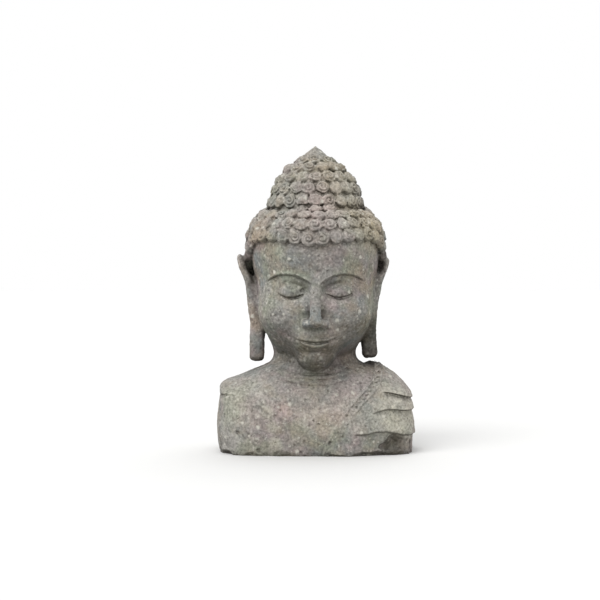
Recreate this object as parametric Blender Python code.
"""A stone bust carved in one block: a head with snail-shell curls and a topknot, long ear lobes,
a creased neck, one bare shoulder and one under a pleated robe, sawn flat below.

The bust stands on z = 0 and faces -Y. Its proportions are shares of its height, counted in parts as a
carver's canon counts them. What has a size of its own, such as the block's width or a curl's pitch, is
named in metres. A face, ears and some two hundred and fifty curls run into one another as one skin, so
the skin is drawn where a distance field crosses zero: each form below is a function that returns how
far every point is from it, in parts, less than zero inside the stone.
"""

import math

import bmesh
import bpy
import numpy as np

# Driving sizes of the block, in metres
HEIGHT = 0.600
TORSO_WIDTH = 0.382
TORSO_DEPTH = 0.226
NECK_WIDTH = 0.161
HEAD_WIDTH = 0.250
TOPKNOT_WIDTH = 0.176
EAR_LOBE_WIDTH = 0.031

# Driving sizes of the carving, in metres
CURL_PITCH = 0.0255
CURL_RISE = 0.0095
HAIR_THICKNESS = 0.006
ROBE_THICKNESS = 0.004
HEM_WIDTH = 0.018
HEM_BEAD_PITCH = 0.010
FOLD_DEPTH = 0.006
NECK_CREASE_DEPTH = 0.0024

# How finely the skin is drawn, and into how many facets
GRID_STEP = 0.003
SAW_ALLOWANCE = 0.012
FACETS = 9400

# The canon: a part is a six-hundredth of the height
PARTS = 600
PART = HEIGHT / PARTS
HEAD_CENTRE = np.array((0.0, 0.0, 330.0))
NOD = math.radians(8)
CAP_CENTRE = np.array((0.0, 14.0, 60.0))
CAP_ABOVE = 87.0
CAP_BELOW = 152.0
TOPKNOT_BASE = 474.0
TOPKNOT_ROOT = 16.0
TOPKNOT_Y = 8.0
TOPKNOT_FILLET = 7.0
EAR_FILLET = 11.0
STONE = (0.33, 0.31, 0.28, 1.0)


def parts(metres):
    """A size in metres as parts of the canon."""
    return metres / PART


# Working with distances


def smoothstep(low, high, value):
    """0 at low, 1 at high, and an S between them."""
    t = np.clip((value - low) / (high - low), 0, 1)
    return t * t * (3 - 2 * t)


def bell(offset, width):
    """A bump of height 1 at offset 0."""
    return np.exp(-((offset / width) ** 2))


def join(a, b, blend):
    """Both forms, with the corner between them filled over the blend's width."""
    h = np.clip(0.5 + 0.5 * (b - a) / blend, 0, 1)
    return b + (a - b) * h - blend * h * (1 - h)


def overlap(a, b, blend):
    """What both forms hold, with the edge between them rounded over the blend's width."""
    return -join(-a, -b, blend)


def cut(a, b, blend):
    """The first form with the second taken away."""
    return overlap(a, -b, blend)


def ellipsoid(points, centre, radii):
    """Distance to an ellipsoid, to first order."""
    q = (points - centre) / radii
    level = np.linalg.norm(q, axis=1)
    slope = np.linalg.norm(q / radii, axis=1)
    return level * (level - 1) / np.maximum(slope, 1e-6)


def pair(points, centre, radii):
    """Distance to an ellipsoid on the +X side and to its mirror image."""
    folded = np.stack((np.abs(points[:, 0]), points[:, 1], points[:, 2]), axis=1)
    return ellipsoid(folded, centre, radii)


def tapered_rod(points, start, end, start_radius, end_radius):
    """Distance to a round rod between two points whose radius changes along it."""
    axis = np.subtract(end, start)
    along = np.clip((points - start) @ axis / (axis @ axis), 0, 1)
    nearest = start + along[:, None] * axis
    return np.linalg.norm(points - nearest, axis=1) - start_radius - along * (end_radius - start_radius)


def beside_line(u, v, line):
    """How far each (u, v) is from a line of points, positive on its left, and how far along it."""
    best = np.full(len(u), np.inf)
    side = np.zeros(len(u))
    station = np.zeros(len(u))
    travelled = 0.0
    for (u0, v0), (u1, v1) in zip(line[:-1], line[1:]):
        du, dv = u1 - u0, v1 - v0
        length = math.hypot(du, dv)
        t = np.clip(((u - u0) * du + (v - v0) * dv) / length**2, 0, 1)
        across_u, across_v = u - u0 - t * du, v - v0 - t * dv
        distance = np.hypot(across_u, across_v)
        closer = distance < best
        best = np.where(closer, distance, best)
        side = np.where(closer, np.sign(du * across_v - dv * across_u), side)
        station = np.where(closer, travelled + t * length, station)
        travelled += length
    return best * side, station


# The shoulders, the neck and the robe

# Lines on the chest as (x, z) seen from the front, in parts
HEM_FRONT = (
    (20, -8), (28, 20), (43, 49), (53, 64), (67, 84), (83, 103), (104, 123), (117, 140), (126, 182)
)
HEM_BACK = ((-200, 64), (-140, 72), (-70, 92), (0, 118), (50, 138), (98, 158), (126, 182))
ARM_CREASE = ((-98, 94), (-87, 83), (-79, 69), (-75, 47), (-73, 10))

# The robe's folds over the arm, as the heights they have at each distance from the middle
FOLDS = (
    ((132, 150, 168, 185), (119, 116, 111, 107)),
    ((112, 133, 149, 168, 186), (81, 87, 87, 84, 84)),
    ((66, 91, 110, 133, 149, 168, 186), (42, 41, 44, 45, 43, 38, 37)),
)
BACK_FOLD_SPACING = 34


def fold_step(above):
    """A fold's section: cloth proud above its edge, a short hollow below it."""
    lap = smoothstep(-3, 3, above)
    proud = 0.65 * np.exp(-np.maximum(above, 0) / 15)
    hollow = 0.45 * np.exp(np.minimum(above, 0) / 9)
    return lap * proud - (1 - lap) * hollow


def robe_relief(points):
    """Height of the robe over the skin, its beaded hem and its folds."""
    x, y, z = points.T
    front = smoothstep(12, -12, y)
    outside_front, along = beside_line(x, z, HEM_FRONT)
    outside_back, along_back = beside_line(x, z, HEM_BACK)
    inside = front * -outside_front + (1 - front) * -outside_back
    station = np.where(front > 0.5, along, along_back)
    present = np.where(front > 0.5, 1, smoothstep(-190, -150, x))
    half_hem = parts(HEM_WIDTH) / 2
    crisp = 0.35 + 0.65 * smoothstep(40, 130, z)
    relief = parts(ROBE_THICKNESS) * smoothstep(-half_hem - 2, -half_hem + 2, inside)
    cords = bell(np.abs(inside) - half_hem + 2.5, 2.6)
    beads = bell(inside, 3.6) * (0.5 + 0.5 * np.cos(station * 2 * math.pi / parts(HEM_BEAD_PITCH)))
    relief += crisp * (1.8 * cords + 1.6 * beads)
    flank = 1 - 0.5 * smoothstep(165, 190, x)
    for spans, heights in FOLDS:
        shown = smoothstep(spans[0] - 12, spans[0] + 14, x)
        relief += parts(FOLD_DEPTH) * shown * flank * fold_step(z - np.interp(x, spans, heights))
    drawn = (1 - front) * smoothstep(-150, -110, x) * smoothstep(150, 110, x)
    for number in (1, 2, 3):
        relief += 0.7 * parts(FOLD_DEPTH) * drawn * fold_step(number * BACK_FOLD_SPACING - inside)
    return relief * present


def torso(points):
    """A block with sloping shoulders: upright and sharp on the bare side, rounder under the robe."""
    x, y, z = points.T
    robed = smoothstep(60, 140, x)
    half_width = parts(TORSO_WIDTH) / 2 + 5 * bell(z - 52, 35) - 3 - 6 * robed
    half_depth = parts(TORSO_DEPTH) / 2
    crest = 174.5 + 10 * smoothstep(85, 140, x) - 0.39 * (np.abs(x) - 84)
    springing = 46.0
    u = np.abs(x) / half_width
    w = np.abs(y) / half_depth
    v = np.maximum(z - springing, 0) / np.maximum(crest - springing, 30)
    plan = ((u**3.4 + w**3.4) ** (1 / 3.4) - 1) * half_depth
    profile = ((v**2.2 + w**2.2) ** (1 / 2.2) - 1) * half_depth
    block = overlap(plan, profile, 12 + 46 * robed)
    crease, _ = beside_line(x, z, ARM_CREASE)
    bare_front = smoothstep(-20, -60, y) * smoothstep(104, 84, z)
    block -= bare_front * (2.0 * bell(crease, 4) - 3.5 * bell(crease + 17, 13))
    block -= robe_relief(points)
    return cut(block, ellipsoid(points, (152, -90, 20), (23, 18, 13)), 5)


def neck(points):
    """An upright oval column that widens under the jaw and ends inside the head."""
    x, y, z = points.T
    half = parts(NECK_WIDTH) / 2 + 9 * smoothstep(185, 222, z) * smoothstep(50, 0, y)
    column = (np.hypot((x + 2) / half, (y - 14) / (half * 0.94)) - 1) * half
    return overlap(column, np.abs(z - 195) - 105, 10)


def shoulders(points):
    """The torso and the neck, with three creases round the throat."""
    x, y, z = points.T
    body = join(torso(points), neck(points), 20)
    throat = smoothstep(10, -20, y) * smoothstep(86, 60, np.abs(x))
    for height in (131, 142, 153):
        body += parts(NECK_CREASE_DEPTH) * throat * bell(z - height - 0.0027 * x**2, 2.8)
    return body


# The head and its face, on the canon's thirds, with the eyes half way up


def head_frame(points):
    """Points in the head's own frame, which nods forward: eyes at z = 0, chin and crown 157 away."""
    offset = points - HEAD_CENTRE
    c, s = math.cos(NOD), math.sin(NOD)
    back = offset[:, 1] * c + offset[:, 2] * s
    up = offset[:, 2] * c - offset[:, 1] * s
    return np.stack((offset[:, 0], back, up), axis=1)


def from_head_frame(points):
    """Points or directions of the head's own frame turned back into the bust's frame."""
    c, s = math.cos(NOD), math.sin(NOD)
    back = points[:, 1] * c - points[:, 2] * s
    up = points[:, 1] * s + points[:, 2] * c
    return np.stack((points[:, 0], back, up), axis=1)


def cap_level(offset):
    """1 on the skull and less inside it: oval in plan, a flat crown above, a long slope below."""
    half = parts(HEAD_WIDTH) / 2
    plan = np.hypot(offset[:, 0], offset[:, 1] / 1.15) / half
    upper = (plan**3 + np.abs(offset[:, 2] / CAP_ABOVE) ** 3) ** (1 / 3)
    lower = (plan**2.2 + np.abs(offset[:, 2] / CAP_BELOW) ** 2.2) ** (1 / 2.2)
    return np.where(offset[:, 2] > 0, upper, lower)


def cap(local):
    """Distance to the bare skull under the hair."""
    return (cap_level(local - CAP_CENTRE) - 1) * parts(HEAD_WIDTH) / 2


def skull(local):
    """Cranium, face, cheeks, muzzle and chin, before the features are cut."""
    head = join(cap(local), ellipsoid(local, (0, -34, -38), (parts(HEAD_WIDTH) * 0.445, 97, 118)), 18)
    head = join(head, pair(local, (52, -80, -48), (46, 42, 44)), 30)
    head = join(head, ellipsoid(local, (0, -104, -94), (42, 34, 36)), 24)
    return join(head, ellipsoid(local, (0, -96, -133), (33, 30, 25)), 20)


def nose(local):
    """A straight ridge, a round tip, two wings and the nostrils under them."""
    ridge = tapered_rod(local, (0, -122, 22), (0, -149, -50), 8.5, 12.5)
    ridge = join(ridge, ellipsoid(local, (0, -150, -54), (13.5, 14, 13)), 6)
    ridge = join(ridge, pair(local, (16, -139, -59), (10, 14, 9.5)), 6)
    return cut(ridge, pair(local, (8.5, -147, -70), (4.5, 7, 5)), 2)


def brow_height(x):
    """How high the brow's edge runs at each distance from the middle."""
    u = np.abs(x)
    return 31 - 16 * (np.minimum(u - 54, 0) / 46) ** 2 - 13 * (np.maximum(u - 54, 0) / 34) ** 2


def mouth_height(x):
    """The line between the lips, a little higher at its corners."""
    return -96 + 4.5 * (np.abs(x) / 36) ** 2.5 - 1.2 * bell(x, 6)


def face_relief(local):
    """Height of the brows, the hollows under them and the lips over the skull."""
    x, y, z = local.T
    under = brow_height(x) - z
    reach = smoothstep(4, 14, np.abs(x)) * smoothstep(98, 78, np.abs(x))
    relief = 2.4 * bell(under + 2.5, 4.5) * reach
    relief -= 5.5 * smoothstep(-1, 4, under) * np.exp(-np.maximum(under, 0) / 15) * reach
    above_lip = z - mouth_height(x)
    taper = np.sqrt(np.clip(1 - (x / 38) ** 2, 0, 1))
    upper = above_lip / np.maximum(9 * taper, 0.5)
    lower = -above_lip / np.maximum(12 * np.clip(1 - (x / 33) ** 2, 0, 1), 0.5)
    relief += 4.8 * smoothstep(-0.1, 0.25, upper) * smoothstep(1.25, 0.7, upper) * taper
    relief += 6.0 * smoothstep(-0.1, 0.3, lower) * smoothstep(1.3, 0.6, lower) * taper
    relief -= 3.6 * bell(above_lip, 2.2) * smoothstep(40, 33, np.abs(x))
    relief -= 2.0 * bell(x, 4) * bell(z + 80, 7)
    relief -= 3.0 * bell(z + 116, 6) * bell(x, 22)
    return relief * smoothstep(-60, -85, y)


def eyes(head, local):
    """Sockets cut into the head, and lowered lids set in them with a slit below."""
    head = cut(head, pair(local, (47, -132, 0), (34, 24, 17)), 14)
    head = join(head, pair(local, (46, -95, -4), (27, 27, 18)), 5)
    x, y, z = local.T
    across = (np.abs(x) - 46) / 25
    above_slit = z + 14 - 7 * across**2
    lid = smoothstep(1.15, 0.85, np.abs(across)) * smoothstep(-70, -90, y)
    return head + lid * (3.2 * bell(above_slit, 2.0) - 1.2 * bell(above_slit - 3, 3))


# The ears: left and right as a viewer in front sees them, as the old carving has them

# Heights up the ear, and at each how far its middle stands out from the skull's side, its y, and the
# shares of the lobe's width and of a part that its thickness and half its depth are
EAR_HEIGHTS = (175, 245, 288, 330, 356, 383)
EAR_OFFSETS = (-9.5, -10, -6.5, 6, 18.5, 26)
EAR_SETBACKS = (2, 3, 4, 8, 10, 12)
EAR_THICKNESSES = (1.0, 1.0, 0.97, 0.71, 0.52, 0.36)
EAR_DEPTHS = (16, 16, 20, 26, 28, 20)


def ear(points, side, inset, foot, tip):
    """A blade that flares from the head at its tip and hangs as a thick lobe at its foot."""
    x, y, z = points.T
    x = -side * x
    level = np.interp(z, (foot, tip), (EAR_HEIGHTS[0], EAR_HEIGHTS[-1]))
    middle = inset - parts(HEAD_WIDTH) / 2 - np.interp(level, EAR_HEIGHTS, EAR_OFFSETS)
    setback = np.interp(level, EAR_HEIGHTS, EAR_SETBACKS)
    thickness = np.interp(level, EAR_HEIGHTS, EAR_THICKNESSES) * parts(EAR_LOBE_WIDTH) / 2
    depth = np.interp(level, EAR_HEIGHTS, EAR_DEPTHS)
    plan = (np.abs((x - middle) / thickness) ** 2.6 + np.abs((y - setback) / depth) ** 2.6) ** (1 / 2.6)
    blade = overlap((plan - 1) * thickness, np.abs(z - (foot + tip) / 2) - (tip - foot) / 2, 8)
    outward = np.stack((x - middle + thickness, y - setback, level), axis=1)
    blade = cut(blade, ellipsoid(outward, (-1, 1, 343), (7, 16, 27)), 3)
    return cut(blade, ellipsoid(outward, (-1, 0, 248), (6, 5, 42)), 3)


# The hair: a cap with rows of curls, and a topknot with rows of its own

# The hairline's height in the head's frame at each azimuth, from the forehead to the nape
HAIRLINE_AZIMUTHS = np.radians((0, 12, 40, 62, 80, 105, 135, 180))
HAIRLINE_HEIGHTS = (84, 88, 90, 82, 56, 6, -44, -58)
TOPKNOT_HEIGHTS = (0, 20, 36, 56, 73, 88, 98, 110, 120, 126)
TOPKNOT_SHARES = (1.02, 0.98, 0.93, 0.82, 0.65, 0.45, 0.34, 0.22, 0.10, 0.0)
TOPKNOT_ROWS = (12, 36, 58, 77, 93)


def cap_surface(azimuth, polar):
    """Points of the skull in the head's frame, by azimuth from the front and angle from the crown."""
    reach = np.sin(polar)
    way = np.stack((np.sin(azimuth) * reach, -np.cos(azimuth) * reach, np.cos(polar)), axis=1)
    return CAP_CENTRE + way / cap_level(way)[:, None]


def normals_of(field, points):
    """Outward directions of a field at points, by differences."""
    reach = 0.5
    rise = [field(points + reach * step) - field(points - reach * step) for step in np.eye(3)]
    normals = np.stack(rise, axis=1)
    return normals / np.linalg.norm(normals, axis=1)[:, None]


def hairline(local):
    """How high the hair's lower edge runs beside each point."""
    azimuth = np.arctan2(np.abs(local[:, 0]), CAP_CENTRE[1] - local[:, 1])
    return np.interp(azimuth, HAIRLINE_AZIMUTHS, HAIRLINE_HEIGHTS)


def even_stations(line, pitch):
    """Points a pitch apart along a closed line."""
    loop = np.vstack((line, line[:1]))
    run = np.concatenate(([0], np.cumsum(np.linalg.norm(np.diff(loop, axis=0), axis=1))))
    stations = np.linspace(0, run[-1], max(3, round(run[-1] / pitch)), endpoint=False)
    return np.stack([np.interp(stations, run, loop[:, k]) for k in range(3)], axis=1)


def cap_curls():
    """Centres of the cap's curls in the head's frame: a row on the hairline, then rings at the spacing
    of packed circles. Over the forehead the rings follow the hairline, and behind they run level."""
    pitch = parts(CURL_PITCH)
    turn = np.linspace(-math.pi, math.pi, 361)[:-1]
    polar_of = np.linspace(0.2, 2.6, 400)
    surface = cap_surface(np.repeat(turn, len(polar_of)), np.tile(polar_of, len(turn)))
    over = (surface[:, 2] - hairline(surface) - 0.45 * pitch).reshape(len(turn), -1)
    row_polar = polar_of[np.argmin(np.abs(over), axis=1)]
    brow_polar = row_polar[len(turn) // 2]
    first_row = even_stations(cap_surface(turn, row_polar), pitch)
    rows = [first_row]
    over_forehead = smoothstep(math.radians(85), math.radians(60), np.abs(turn))
    meridian = cap_surface(np.full(len(polar_of), math.pi / 2), polar_of)
    climb = np.concatenate(([0], np.cumsum(np.linalg.norm(np.diff(meridian, axis=0), axis=1))))
    brow_run = np.interp(brow_polar, polar_of, climb)
    spacing = 0.87 * pitch
    for number, run in enumerate(np.arange(brow_run % spacing, climb[-1], spacing)):
        follow = np.exp(min(run - brow_run, 0) / (3 * spacing)) * over_forehead
        polar = np.interp(run, climb, polar_of) + follow * (row_polar - brow_polar)
        start = 0.5 * (number % 2) * pitch / parts(HEAD_WIDTH)
        ring = even_stations(cap_surface(turn + start, polar), pitch)
        clear = ring[:, 2] > hairline(ring) + 0.6 * pitch
        gaps = np.linalg.norm(ring[:, None] - first_row[None], axis=2).min(axis=1)
        rows.append(ring[clear & (gaps > 0.7 * pitch)])
    return np.vstack(rows)


def topknot_radius(z):
    """The topknot's outline without its curls: a bell drawn in to a point."""
    return parts(TOPKNOT_WIDTH) / 2 * np.interp(z - TOPKNOT_BASE, TOPKNOT_HEIGHTS, TOPKNOT_SHARES)


def topknot(points):
    """Distance to the topknot without its curls, which is rooted in the cap."""
    x, y, z = points.T
    bell_side = (np.hypot(x, y - TOPKNOT_Y) - topknot_radius(z)) * 0.8
    return overlap(bell_side, TOPKNOT_BASE - TOPKNOT_ROOT - z, 4)


def topknot_curls():
    """Centres of the topknot's curls, a ring in each row."""
    rows = []
    for number, rise in enumerate(TOPKNOT_ROWS):
        radius = topknot_radius(TOPKNOT_BASE + rise)
        count = max(5, round(2 * math.pi * radius / parts(CURL_PITCH)))
        turn = (np.arange(count) + 0.5 * (number % 2)) * 2 * math.pi / count
        height = np.full(count, TOPKNOT_BASE + rise)
        rows.append(np.stack((radius * np.sin(turn), TOPKNOT_Y - radius * np.cos(turn), height), axis=1))
    return np.vstack(rows)


def all_curls():
    """Centre and outward direction of every curl, in the bust's frame."""
    on_cap = cap_curls()
    cap_out = normals_of(cap, on_cap)
    on_cap = from_head_frame(on_cap + cap_out * parts(HAIR_THICKNESS)) + HEAD_CENTRE
    cap_out = from_head_frame(cap_out)
    on_knot = topknot_curls()
    away = np.hypot(on_cap[:, 0], on_cap[:, 1] - TOPKNOT_Y) > topknot_radius(TOPKNOT_BASE) + 4
    keep = away | (on_cap[:, 2] < TOPKNOT_BASE - 30)
    centres = np.vstack((on_cap[keep], on_knot))
    return centres, np.vstack((cap_out[keep], normals_of(topknot, on_knot)))


CURL_CENTRES, CURL_NORMALS = all_curls()


def curls(points):
    """Distance to the nearest curl: a flattened dome that stands on the hair."""
    radius, rise = 0.52 * parts(CURL_PITCH), parts(CURL_RISE)
    from_head = points - HEAD_CENTRE
    centres = CURL_CENTRES - HEAD_CENTRE
    separation = (centres**2).sum(axis=1) - 2 * from_head @ centres.T
    nearest = np.argmin(separation, axis=1)
    offset = from_head - centres[nearest]
    out = (offset * CURL_NORMALS[nearest]).sum(axis=1)
    across = np.linalg.norm(offset - out[:, None] * CURL_NORMALS[nearest], axis=1)
    level = np.hypot(across / radius, out / rise)
    slope = np.hypot(across / radius**2, out / rise**2)
    return level * (level - 1) / np.maximum(slope, 1e-6)


def hair(points, local):
    """The hair's layer over the skull with its curls, and the topknot."""
    layer = overlap(cap(local) - parts(HAIR_THICKNESS), hairline(local) - local[:, 2], 3)
    mass = join(layer, topknot(points), TOPKNOT_FILLET)
    near = np.flatnonzero((mass < 30) & (points[:, 2] > HEAD_CENTRE[2] - 130))
    knobs = np.full(len(points), 30.0)
    for group in np.array_split(near, max(1, len(near) // 20000)):
        knobs[group] = curls(points[group])
    return join(mass, knobs, 2.5)


def bust(points):
    """Distance to the whole carving, in parts."""
    local = head_frame(points)
    head = skull(local) - face_relief(local)
    head = join(eyes(head, local), nose(local), 8)
    head = np.minimum(head, hair(points, local))
    head = join(head, ear(points, -1, 0, 173, 387), EAR_FILLET)
    head = join(head, ear(points, 1, 9, 180, 378), EAR_FILLET)
    whole = join(shoulders(points), head, 9)
    return overlap(whole, -parts(SAW_ALLOWANCE) - points[:, 2], 1)


# From the field to a mesh

# A grid's values at the first and at the last end of its cells, and at each of their eight corners
ENDS = (slice(None, -1), slice(1, None))
CORNERS = [(a, b, c) for a in ENDS for b in ENDS for c in ENDS]
FILLED = -0.001


def sampled(field, low, high, step):
    """The field on a grid: worked out near the skin, and only its sign kept further away."""
    ratio = 4
    coarse = ratio * step
    counts = np.ceil((high - low) / coarse).astype(int) + 1
    axes = [low[k] + coarse * np.arange(counts[k]) for k in range(3)]
    places = np.stack(np.meshgrid(*axes, indexing="ij"), axis=-1).reshape(-1, 3)
    values = field(places).reshape(counts)
    corners = np.stack([values[corner] for corner in CORNERS])
    fine = corners[0]
    near = np.abs(corners).min(axis=0) < 1.3 * coarse
    for axis in range(3):
        fine = fine.repeat(ratio, axis)
        near = near.repeat(ratio, axis)
    fine[near] = field(low + step * np.argwhere(near))
    return fine


def fill_where(chosen, views):
    """Puts every corner of the chosen cells or sides inside the stone."""
    for view in views:
        view[chosen] = np.minimum(view[chosen], FILLED)
    return bool(chosen.any())


def crossed_sides(values):
    """Fills the cell sides whose inside corners lie across from each other. True if there were any."""
    for axis in range(3):
        layers = np.moveaxis(values, axis, 0)
        a, b, c, d = [layers[:, i, j] for i in ENDS for j in ENDS]
        inside = [view < 0 for view in (a, b, c, d)]
        crossed = (inside[0] == inside[3]) & (inside[1] == inside[2]) & (inside[0] != inside[1])
        if fill_where(crossed, (a, b, c, d)):
            return True
    return False


def lone_corners(values):
    """Fills the cells with two opposite corners alone on one side of the skin. True if there were any."""
    views = [values[corner] for corner in CORNERS]
    inside = [view < 0 for view in views]
    count = sum(view.astype(np.int8) for view in inside)
    found = False
    for first, last in zip(inside[:4], inside[:3:-1]):
        found |= fill_where((first == last) & (count == np.where(first, 2, 6)), views)
    return found


def without_pinches(values):
    """The grid with stone in every cell where the skin would touch itself."""
    while crossed_sides(values) or lone_corners(values):
        pass
    return values


def skin(values, low, step):
    """Vertices and quads of the zero surface. Each grid cell that it crosses gets a vertex, at the mean
    of the crossings on the cell's edges, and each crossed edge a quad between its four cells."""
    cells = []
    crossings = []
    turned = []
    shape = np.array(values.shape)
    for axis in range(3):
        before = np.take(values, np.arange(shape[axis] - 1), axis)
        after = np.take(values, np.arange(1, shape[axis]), axis)
        index = np.argwhere((before < 0) != (after < 0))
        start, end = before[tuple(index.T)], after[tuple(index.T)]
        crossing = index.astype(float)
        crossing[:, axis] += start / (start - end)
        corners = np.repeat(index[:, None], 4, axis=1)
        corners[:, (1, 2), (axis + 1) % 3] -= 1
        corners[:, (2, 3), (axis + 2) % 3] -= 1
        cells.append(np.ravel_multi_index(tuple(np.moveaxis(corners, 2, 0)), shape))
        crossings.append(crossing)
        turned.append(start > 0)
    quads = np.unique(np.vstack(cells), return_inverse=True)[1].reshape(-1, 4)
    turned = np.concatenate(turned)
    total = np.bincount(quads.ravel())
    weights = np.repeat(np.vstack(crossings), 4, axis=0)
    vertices = np.stack([np.bincount(quads.ravel(), weights[:, k]) / total for k in range(3)], axis=1)
    quads[turned] = quads[turned][:, ::-1]
    return low + step * vertices, quads


def carved_mesh(name):
    """The carving as a mesh in metres, before it is thinned and sawn."""
    side = parts(max(TORSO_WIDTH, HEAD_WIDTH)) / 2 + 30
    depth = parts(max(TORSO_DEPTH, HEAD_WIDTH * 1.15)) / 2 + 40
    low = np.array((-side, -depth - 20, -parts(SAW_ALLOWANCE) - 8))
    high = np.array((side, depth, PARTS + 12))
    step = parts(GRID_STEP)
    vertices, quads = skin(without_pinches(sampled(bust, low, high, step)), low, step)
    mesh = bpy.data.meshes.new(name)
    mesh.from_pydata((vertices * PART).tolist(), [], quads.tolist())
    return mesh


def saw_flat(mesh):
    """Saws the mesh off at z = 0 and closes the cut with one flat face."""
    stone = bmesh.new()
    stone.from_mesh(mesh)
    geometry = stone.verts[:] + stone.edges[:] + stone.faces[:]
    made = bmesh.ops.bisect_plane(
        stone, geom=geometry, plane_co=(0, 0, 0), plane_no=(0, 0, 1), clear_inner=True
    )
    rim = [item for item in made["geom_cut"] if isinstance(item, bmesh.types.BMEdge)]
    bmesh.ops.contextual_create(stone, geom=rim)
    bmesh.ops.recalc_face_normals(stone, faces=stone.faces[:])
    stone.to_mesh(mesh)
    stone.free()


def stone_material():
    """Grey volcanic stone, matt."""
    material = bpy.data.materials.new("weathered_stone")
    material.use_nodes = True
    shader = material.node_tree.nodes["Principled BSDF"]
    shader.inputs["Base Color"].default_value = STONE
    shader.inputs["Roughness"].default_value = 0.92
    shader.inputs["Metallic"].default_value = 0.0
    return material


def stone_bust(collection):
    """The bust as one solid: drawn finely, thinned to its facets and sawn flat."""
    fine = bpy.data.objects.new("fine_bust", carved_mesh("fine_bust"))
    collection.objects.link(fine)
    thin = fine.modifiers.new("facets", "DECIMATE")
    thin.ratio = FACETS / (2 * len(fine.data.polygons))
    thin.use_collapse_triangulate = True
    mesh = bpy.data.meshes.new_from_object(fine.evaluated_get(bpy.context.evaluated_depsgraph_get()))
    bpy.data.objects.remove(fine)
    saw_flat(mesh)
    mesh.materials.clear()
    mesh.materials.append(stone_material())
    mesh.shade_smooth()
    collection.objects.link(bpy.data.objects.new("stone_bust", mesh))


def main():
    """Clears the scene and carves the bust."""
    for item in list(bpy.data.objects):
        bpy.data.objects.remove(item)
    collection = bpy.data.collections.new("stone_bust")
    bpy.context.scene.collection.children.link(collection)
    stone_bust(collection)


if __name__ == "__main__":
    main()
